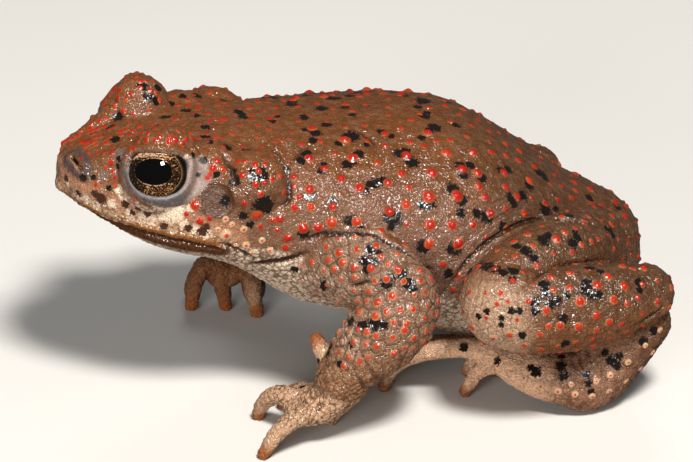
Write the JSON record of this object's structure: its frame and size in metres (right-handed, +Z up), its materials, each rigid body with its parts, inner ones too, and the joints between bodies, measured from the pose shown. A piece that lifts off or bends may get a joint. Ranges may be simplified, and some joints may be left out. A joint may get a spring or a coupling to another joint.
{
  "type": "red-spotted toad model",
  "caption": "Life-size still model of a red-spotted toad sitting with its front raised, warty skin, round parotoid glands, and hands and feet set on the floor.",
  "frame": {"origin": "on the floor, at the middle of the toad's outline seen from above", "axes": "-X towards the snout, +X towards the vent, -Y the toad's left side, +Z up"},
  "size_m": [0.0532, 0.0428, 0.0272],
  "materials": {
    "skin": "moist, finely granular brown skin with red warts and black blotches",
    "eye": "glossy, dark bronze iris with a black oval pupil"
  },
  "bodies": {
    "root": {"torso": "skin", "head": "skin", "eye_left": "eye", "eye_right": "eye", "upper_arm_left": "skin", "forearm_left": "skin", "hand_left": "skin", "upper_arm_right": "skin", "forearm_right": "skin", "hand_right": "skin", "thigh_left": "skin", "shank_left": "skin", "foot_left": "skin", "thigh_right": "skin", "shank_right": "skin", "foot_right": "skin"}
  },
  "joints": []
}
